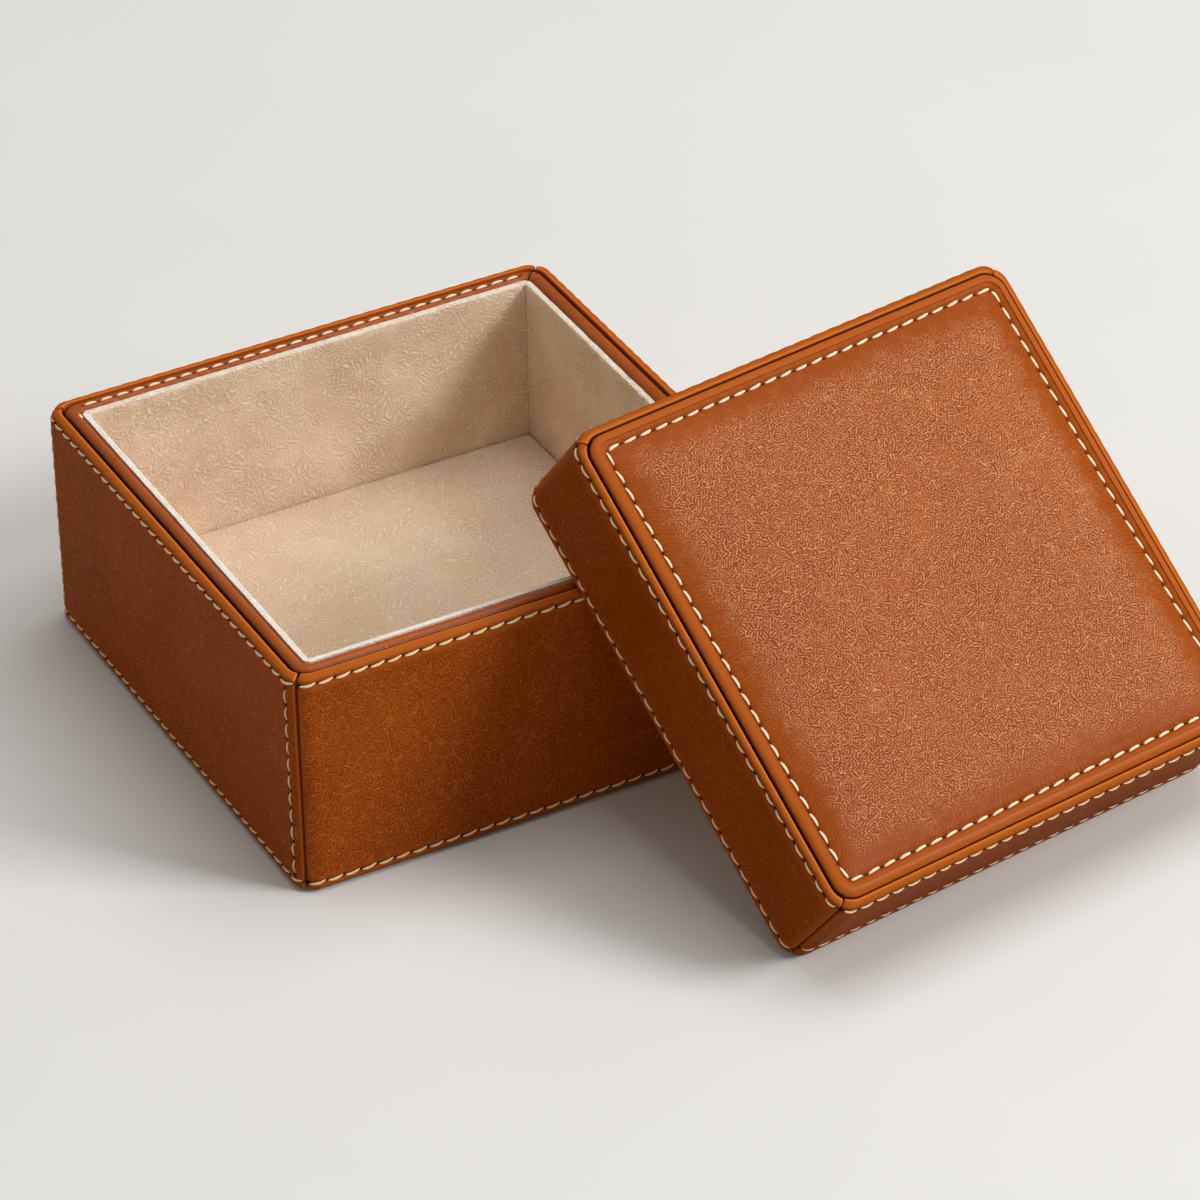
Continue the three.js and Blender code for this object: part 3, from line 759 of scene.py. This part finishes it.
def folded_wear_and_light(top, fold):
    """Marks of a folded panel: lighter along the crest by the groove, partly real burnish and partly painted
    highlight, and painted shade down in the groove. The far sides' wall of the groove can be seen, so its painted
    shade deepens by and by."""
    def wear_and_light_at(side, run, point):
        if point.x > fold - 0.1 and point.y < top - 0.3:
            deep = min(max((top - 1.3 - point.y) / 0.6, 0.2), 1) if side in FAR_SIDES else 1
            return GROOVE_PAINTED_SHADE * deep
        # Lighter along the crest: partly real burnish, partly painted highlight
        if point.y > top - 1:
            return 0.3 + 0.5 * math.exp(-((point.x - (fold - 0.4)) / 0.3) ** 2)
        return 0.0
    return wear_and_light_at


def calm_between(low, high, end):
    """Calm leather beyond the two heights and near a side's ends."""
    def calm_at(run, point):
        outside = max(low - point.y, point.y - high, abs(run) - end)
        return min(max(0.5 + outside / 3, 0), 1)
    return calm_at


def side_panel(side):
    """A folded side panel and its stitches. The left and right ones have a row down either end too."""
    rows = [Row(base_top_row, base_holes), Row(base_bottom_row, base_holes)]
    uprights = []
    if side in ("left", "right"):
        down = [base_section.nearest(0, height) for height in UPRIGHT_ENDS]
        holes = even_holes(*down, UPRIGHT_PITCH)
        uprights = [Upright(end * UPRIGHT_RUN, holes) for end in (-1, 1)]
    bm = swept(BASE, side_stations(BASE, side, STITCHED_SPACING), base_section, folded_wear_and_light(BASE_TOP, BASE_FOLD),
               dented(rows + uprights), shade=0.4, calm_at=calm_between(4.4, 58.4, 68.3), skived=True)
    finished("base_leather_" + side, bm, side_leather, "base", "leather", "base_side_panel_" + side)
    sewn = bmesh.new()
    seed = 10 * SIDES.index(side)
    for at in (base_top_row, base_bottom_row):
        threads(sewn, base_holes, row_surface(BASE, side, base_section, at), seed + int(at))
    for upright in uprights:
        surface = upright_surface(BASE, side, base_section, upright.run)
        threads(sewn, upright.holes, surface, seed + 3, width=0.6, bow=-0.42, slant=0, share=(0.76, 0.84))
    finished("base_threads_" + side, sewn, side_thread_painted_warm_light, "base", "thread")


# The welt and the linings

def welt_section():
    """A half-round bead on a flat foot."""
    points = line((3.35, 58.4), (3.35, 60.0), 0.8) + bend((5.23, 60.0), 1.88, 2.0, 180, 0, 18)
    points += line((7.1, 60.0), (7.1, 58.4), 0.8) + line((7.1, 58.4), (3.35, 58.4), 2)
    return Section(points[::-1])


def make_welt():
    """One strip round the rim, whose ends meet at the back corner, with stitches along the back. It stands a little
    further out into the groove on the far sides."""
    section = welt_section()
    no_end = 9.0
    stations = []
    for side in ("back", "left", "front", "right"):
        for _, run, left in side_stations(BASE, side, STITCHED_SPACING):
            at_end = side == "back" and run < 0 or side == "right" and run > 0
            if left > 0.01 or at_end:
                stations.append((side, run, left if at_end else no_end))
    row = section.nearest(5.15, BASE_TOP)
    holes = even_holes(-63.6, 63.6)

    def far(side, run):
        """1 along the far sides, 0 along the near ones."""
        if side in FAR_SIDES:
            return 1.0
        to_far = run + BASE.end if side == "left" else BASE.end - run
        return max(1 - to_far / 6, 0)

    def relief(side, run, travel):
        away = section.at(travel)[1]
        lift = 0.5 * max(-away.x, 0) * far(side, run)
        if side != "back" or abs(run) > 65:
            return lift, 0.0
        row_lift, row_painted_shade = Row(row, holes, 0.8).relief(run, travel)
        return lift + row_lift, row_painted_shade

    def wear_and_light_at(side, run, point):
        # Painted shade down both flanks of the welt, by the panel's groove and by the lining; on the far sides it
        # starts lower
        if point.x < 5.2:
            return GROOVE_PAINTED_SHADE * min(max((61.6 - 0.9 * far(side, run) - point.y) / 0.7, 0), 1)
        return -0.5 * min(max((60.9 - point.y) / 0.8, 0), 1)

    bm = swept(BASE, stations, section, wear_and_light_at, relief, gap=0.3, soft_end=0.4)
    finished("rim_welt_leather", bm, welt_leather, "base", "leather", "rim_welt")
    sewn = bmesh.new()
    surface = row_surface(BASE, "back", section, row)
    threads(sewn, holes, surface, 71, width=0.85, slant=0.1, bow=0.1, share=(0.72, 0.8))
    turned = row_surface(BASE, "left", section, row - 1.1, sunk=-0.05)
    threads(sewn, [-64.9, -62.3], turned, 72, width=0.85, slant=0.0, bow=0.0)
    finished("rim_threads_back", sewn, pale_thread, "base", "thread")


def lining_section(outer, inner, bottom, top, round_top, rounded_up=True):
    """A suede-covered board whose inner edge is rounded at the top, or at the bottom."""
    points = line((inner, bottom), (inner, top - round_top), 2.2)
    points += bend((inner - round_top, top - round_top), round_top, round_top, 0, 90, 5)
    points += line((inner - round_top, top), (outer, top), 0.35)
    points += line((outer, top), (outer, bottom), 20) + line((outer, bottom), (inner, bottom), 2)
    if not rounded_up:
        points = [(inset, bottom + top - height) for inset, height in points][::-1]
    return Section(points)


def make_base_lining(side):
    """A lining board, a little uneven. The near ones show a sharp pale edge, the far ones a soft one."""
    section = lining_section(7.2, 8.8, 4.4, 61.5, 0.45)

    def wear_and_light_at(side, run, point):
        if side in FAR_SIDES:
            return 0.5 * math.exp(-max(61.0 - point.y, 0) / 2.4)
        return 1.6 if point.y > 61.2 else 0.0

    def relief(side, run, travel):
        wave = Vector((run * 0.16, travel * 0.16, SIDES.index(side) * 7.0))
        fuzz = Vector((run * 1.9, travel * 1.9, SIDES.index(side) * 5.0))
        return 0.12 * noise.noise(wave) + 0.06 * noise.noise(fuzz), 0.0

    bm = swept(BASE, side_stations(BASE, side, 0.7), section, wear_and_light_at, relief, gap=0.12, soft_end=0.2)
    finished("base_suede_" + side, bm, lining_suede, "base", "suede", "base_lining_" + side)


# The lid's bands

BAND_ROWS = {"front": (30.6, 4.5), "right": (29.4, 2.6), "back": (29.4, 2.6), "left": (30.6, 2.6)}
lid_holes = corner_holes(BAND, 58.4)


def lid_band(side):
    """A folded band and its two rows of stitches."""
    high, low = BAND_ROWS[side]
    fold = 2.45 if side == "front" else 2.15
    section = panel_section(bottom=0, top=BAND_TOP, top_roll=1.9, bottom_roll=1.1, fold=fold, depth=4,
                            row_heights=(high, low))
    rows = [Row(section.nearest(0.15, high), lid_holes), Row(section.nearest(0, low), lid_holes)]
    bm = swept(BAND, side_stations(BAND, side, STITCHED_SPACING), section, folded_wear_and_light(BAND_TOP, fold),
               dented(rows), gap=0.3, soft_end=0.35, shade=0.5, calm_at=calm_between(4.2, 28.2, 62), skived=True)
    finished("lid_leather_" + side, bm, band_leather, "lid", "leather", "lid_band_" + side)
    sewn = bmesh.new()
    for k, row in enumerate(rows):
        surface = row_surface(BAND, side, section, row.at)
        seed = 100 + 10 * SIDES.index(side) + k
        threads(sewn, lid_holes, surface, seed, width=0.62, bow=0.34, slant=0.06, share=(0.68, 0.84))
    finished("lid_threads_" + side, sewn, side_thread_painted_warm_light, "lid", "thread")


def make_lid_lining(side):
    section = lining_section(3.7, 4.4, 0.4, 27.4, 0.3, rounded_up=False)

    def wear_and_light_at(side, run, point):
        return 1.2 if point.y < 0.5 else 0.5 * math.exp(-point.y / 3)

    bm = swept(LID, side_stations(LID, side, 2.4), section, wear_and_light_at, gap=0.12, soft_end=0.12)
    finished("lid_suede_" + side, bm, lid_suede, "lid", "suede", "lid_lining_" + side)


# Padded pieces: a sheet on a square of cells, drawn over its foam

ENLARGED = 10


def swollen(cells, spot, height, swell, cap):
    """How far a pinned sheet rises off its foam when it is blown up, at each of its cells' corners. The sheet is
    simulated enlarged and without gravity."""
    rise = [[0.0] * (cells + 1) for _ in range(cells + 1)]
    bm = bmesh.new()
    bmesh.ops.create_grid(bm, x_segments=cells, y_segments=cells, size=1)
    pinned, rest = [], []
    for vert in bm.verts:
        u, v = vert.co.x, vert.co.y
        if max(abs(u), abs(v)) > 1 - 0.5 / cells:
            pinned.append(vert.index)
        rest.append((round((u + 1) * cells / 2), round((v + 1) * cells / 2)))
        at = spot(u, v)
        vert.co = Vector((at.x, at.y, height(at))) * MM * ENLARGED
    mesh = bpy.data.meshes.new("sheet")
    bm.to_mesh(mesh)
    bm.free()
    start = [v.co.z for v in mesh.vertices]
    sheet = bpy.data.objects.new("sheet", mesh)
    bpy.context.scene.collection.objects.link(sheet)
    sheet.vertex_groups.new(name="stitched").add(pinned, 1.0, "REPLACE")
    cloth = sheet.modifiers.new("cloth", "CLOTH")
    cloth.settings.quality = 6
    cloth.settings.mass = 0.4
    cloth.settings.tension_stiffness = 25
    cloth.settings.compression_stiffness = 25
    cloth.settings.bending_stiffness = 2
    cloth.settings.vertex_group_mass = "stitched"
    cloth.settings.use_pressure = True
    cloth.settings.uniform_pressure_force = swell
    cloth.settings.effector_weights.gravity = 0
    for step in range(1, 21):
        bpy.context.scene.frame_set(step)
    graph = bpy.context.evaluated_depsgraph_get()
    blown = sheet.evaluated_get(graph).to_mesh()
    for (i, j), low, vert in zip(rest, start, blown.vertices):
        rise[i][j] = max(-cap, min(cap, (vert.co.z - low) / MM / ENLARGED))
    bpy.data.objects.remove(sheet)
    bpy.context.scene.frame_set(1)
    return rise


def between(table, u, v):
    """A table's value at u and v from -1 to 1, blended from its four nearest entries."""
    last = len(table) - 1
    x, y = (u + 1) / 2 * last, (v + 1) / 2 * last
    i, j = min(int(x), last - 1), min(int(y), last - 1)
    x, y = x - i, y - j
    low = table[i][j] * (1 - x) + table[i + 1][j] * x
    high = table[i][j + 1] * (1 - x) + table[i + 1][j + 1] * x
    return low * (1 - y) + high * y


def square_spot(plan, inset, u, v):
    """Which side a cell's corner belongs to, its run, its inset, and where it is in the plan. The cells end at the
    given inset, and u and v go from -1 to 1."""
    ring = max(abs(u), abs(v))
    if ring < 1e-9:
        return "front", 0.0, plan.half, Vector((0, 0, 0))
    if abs(v) >= abs(u):
        side = "front" if v < 0 else "back"
        share = u / ring if v < 0 else -u / ring
    else:
        side = "right" if u > 0 else "left"
        share = v / ring if u > 0 else -v / ring
    run = share * plan.end
    depth = inset + (plan.half - inset) * (1 - ring)
    spot, _ = plan.spot(run, depth)
    return side, run, depth, quarter(side) @ spot


# The lid's padded top: its stitch row lies at an inset and a height, and the leather rises inside it and rolls over
# its edge outside it.

TOP_ROW = 3.9
TOP_CELLS = 176
GRAIN_FROM, CALM_WIDTH = 17.8, 16.4
ROW_HEIGHT = 32.6
PAD_RISE = 3.0
PAD_CROWN = 1.2


def pad_height(spot):
    u, v = (min(abs(x) / (TOP.half - TOP_ROW), 1) for x in (spot.x, spot.y))
    edge = (1 - u ** 7) * (1 - v ** 7)
    crown = (1 - u * u) * (1 - v * v)
    return ROW_HEIGHT + PAD_RISE * edge + PAD_CROWN * crown


def top_holes():
    """Even holes round the lid's top, with one in each corner."""
    radius = TOP.radius(TOP_ROW)
    length = TOP.half - TOP_ROW - radius + radius * math.pi / 4
    count = round(2 * length / PITCH)
    return [TOP.run_of(-length + 2 * length * k / count, TOP_ROW) for k in range(count + 1)]


def top_edge():
    """Inset, height and mark of the leather outside the stitch row, from the row to the foot of the groove: a
    painted highlight, partly real burnish, on the rising leather and the roll, and painted shade under it and in the
    groove.
    """
    steps = [math.pi / 2 * k / 10 for k in range(1, 11)]
    rising = [(TOP_ROW - 1.8 * math.sin(a), ROW_HEIGHT + 0.7 * (1 - math.cos(a)), 0.4) for a in steps]
    rolled = [(2.1 * (1 - math.sin(a)), BAND_TOP + 1.3 * math.cos(a), 0.5) for a in steps[:8]]
    rolled += [(2.1 * (1 - math.sin(a)), BAND_TOP + 1.3 * math.cos(a), -0.6) for a in steps[8:]]
    return rising + rolled + [(0, 31.2, GROOVE_PAINTED_SHADE), (0, 30.4, GROOVE_PAINTED_SHADE)]


def top_dent(holes, run, inset):
    return dent(gap_to(holes, run), inset - TOP_ROW) if abs(inset - TOP_ROW) < ROW_REACH else (0.0, 0.0)


def make_top():
    """The padded top, with its stitches."""
    holes = top_holes()
    rise = swollen(44, lambda u, v: square_spot(TOP, TOP_ROW, u, v)[3], pad_height, 2.5, 1.2)
    bm = bmesh.new()
    wear_and_light_layer = bm.verts.layers.float.new("wear_and_painted_light")
    calm = bm.verts.layers.float.new("calm")
    along = bm.verts.layers.float.new("run")
    station = bm.verts.layers.int.new("station")
    bmesh.ops.create_grid(bm, x_segments=TOP_CELLS, y_segments=TOP_CELLS, size=1)
    places = []
    for vert in bm.verts:
        u, v = vert.co.x, vert.co.y
        side, run, inset, spot = square_spot(TOP, TOP_ROW, u, v)
        lift, wear_and_painted_light = top_dent(holes, run, inset)
        wander = noise.noise(Vector((run * 0.35, SIDES.index(side) * 9.0, inset * 0.25)))
        pleat = math.sin(2 * math.pi * run / 2.3 + 7 * wander) * math.exp(-abs(inset - TOP_ROW - 2.4) / 1.6)
        spot.z = pad_height(spot) + between(rise, u, v) + lift + 0.07 * pleat
        vert.co = spot
        vert[wear_and_light_layer] = wear_and_painted_light
        vert[calm] = min(max((GRAIN_FROM - inset) / CALM_WIDTH, 0), 1)
        vert[along] = run
        if vert.is_boundary:
            vert[station] = len(places)
            places.append((side, run))
    edges = [e for e in bm.edges if e.is_boundary]
    for inset, height, wear_and_painted_light in top_edge():
        made = bmesh.ops.extrude_edge_only(bm, edges=edges)["geom"]
        for vert in made:
            if isinstance(vert, bmesh.types.BMVert):
                side, run = places[vert[station]]
                lift, row_painted_shade = top_dent(holes, run, inset)
                spot, _ = TOP.spot(run, inset)
                spot = quarter(side) @ spot
                spot.z = height + lift
                vert.co = spot
                # The front groove's painted shade is painted lighter
                vert[wear_and_light_layer] = wear_and_painted_light * (0.3 if side == "front" and wear_and_painted_light < -0.5 else 1) + row_painted_shade
                vert[calm] = 2.0
                vert[along] = run
        edges = [e for e in made if isinstance(e, bmesh.types.BMEdge) and len(e.link_faces) == 1]
    bmesh.ops.contextual_create(bm, geom=edges)
    bmesh.ops.transform(bm, matrix=LID.place, verts=bm.verts)
    top = finished("lid_top_leather", bm, top_leather, "lid", "leather", "lid_top_panel")

    def row_at(side):
        turn = TOP.place @ quarter(side)

        def on_surface(run, across, out):
            spot, _ = TOP.spot(max(-TOP.end, min(TOP.end, run)), TOP_ROW + across)
            spot.z = ROW_HEIGHT + out + 0.06
            return turn @ spot
        return on_surface

    sewn = bmesh.new()
    for k, side in enumerate(SIDES):
        threads(sewn, holes, row_at(side), 200 + k, width=0.76, thick=0.64, bow=0.12, slant=-0.16, share=(0.74, 0.8))
    finished("lid_top_threads", sewn, pale_thread, "lid", "thread")


def make_pad(name, plan, edge, bottom, thick, crown, body, node, material, up=1):
    """A suede pad: flat where it lies, crowned above, with soft edges. Up is -1 for a pad under a ceiling."""
    cells = 84
    soft = 0.8

    def height(spot):
        u, v = spot.x / (plan.half - edge), spot.y / (plan.half - edge)
        return thick + crown * (1 - u * u) * (1 - v * v)

    rise = swollen(28, lambda u, v: square_spot(plan, edge + soft, u, v)[3], height, 0.8, 0.3)
    bm = bmesh.new()
    bmesh.ops.create_grid(bm, x_segments=cells, y_segments=cells, size=1)
    rim, order = {}, bm.verts.layers.int.new("station")
    for vert in bm.verts:
        u, v = vert.co.x, vert.co.y
        side, run, _, spot = square_spot(plan, edge + soft, u, v)
        spot.z = bottom + up * (height(spot) + between(rise, u, v))
        if vert.is_boundary:
            vert[order] = len(rim)
            rim[len(rim)] = (side, run)
        vert.co = spot
    edges = [e for e in bm.edges if e.is_boundary]
    # Five steps round the soft edge, and two down to the foot
    for step in range(1, 8):
        made = bmesh.ops.extrude_edge_only(bm, edges=edges)["geom"]
        angle = math.pi / 2 * min(step, 5) / 5
        inset = edge + soft * (1 - math.sin(angle))
        low = {6: thick * 0.5, 7: 0.0}.get(step, thick - soft * (1 - math.cos(angle)))
        for vert in made:
            if isinstance(vert, bmesh.types.BMVert):
                side, run = rim[vert[order]]
                spot = quarter(side) @ plan.spot(run, inset)[0]
                spot.z = bottom + up * low
                vert.co = spot
        edges = [e for e in made if isinstance(e, bmesh.types.BMEdge) and len(e.link_faces) == 1]
    bmesh.ops.contextual_create(bm, geom=edges)
    bmesh.ops.transform(bm, matrix=plan.place, verts=bm.verts)
    pad = finished(name, bm, material, body, "suede", node)


def make_tab(side):
    """A suede-covered tab inside the lid's open edge."""
    wide, thick, high = 50, 1.4, 14.5
    bm = bmesh.new()
    bmesh.ops.create_cube(bm, size=1)
    bmesh.ops.scale(bm, vec=(wide, thick, high), verts=bm.verts)
    upright = [e for e in bm.edges if abs(e.verts[0].co.y - e.verts[1].co.y) > 1]
    bmesh.ops.bevel(bm, geom=upright, offset=2.5, affect="EDGES", segments=6, profile=0.5, material=-1)
    around = [e for e in bm.edges if abs(e.verts[0].co.y - e.verts[1].co.y) < 0.1]
    bmesh.ops.bevel(bm, geom=around, offset=0.35, affect="EDGES", segments=3, profile=0.5, material=-1)
    bmesh.ops.translate(bm, vec=(0, -(LID_HALF - 4.5) + 0.7, 4.75), verts=bm.verts)
    bmesh.ops.transform(bm, matrix=LID.place @ quarter(side), verts=bm.verts)
    finished("lid_tab_suede_" + side, bm, lid_suede, "lid", "suede", "lid_tab_" + side)


make_camera()
make_light()
make_table()
for side in SIDES:
    side_panel(side)
    make_base_lining(side)
    lid_band(side)
    make_lid_lining(side)
    make_tab(side)
make_welt()
make_top()
make_pad("floor_pad_suede", BASE, edge=9.0, bottom=13.5, thick=3.0, crown=0.35, body="base", node="floor_pad",
         material=pad_suede)
make_pad("ceiling_pad_suede", LID, edge=4.6, bottom=27.3, thick=2.0, crown=0.3, body="lid", node="lid_ceiling_pad",
         material=ceiling_suede, up=-1)

# What no piece stands for: boards, foam and the leather underneath
for name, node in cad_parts.items():
    if node.hide_render:
        continue
    for place in node.material_slots:
        place.material = board if "board" in name else foam if "foam" in name else side_leather
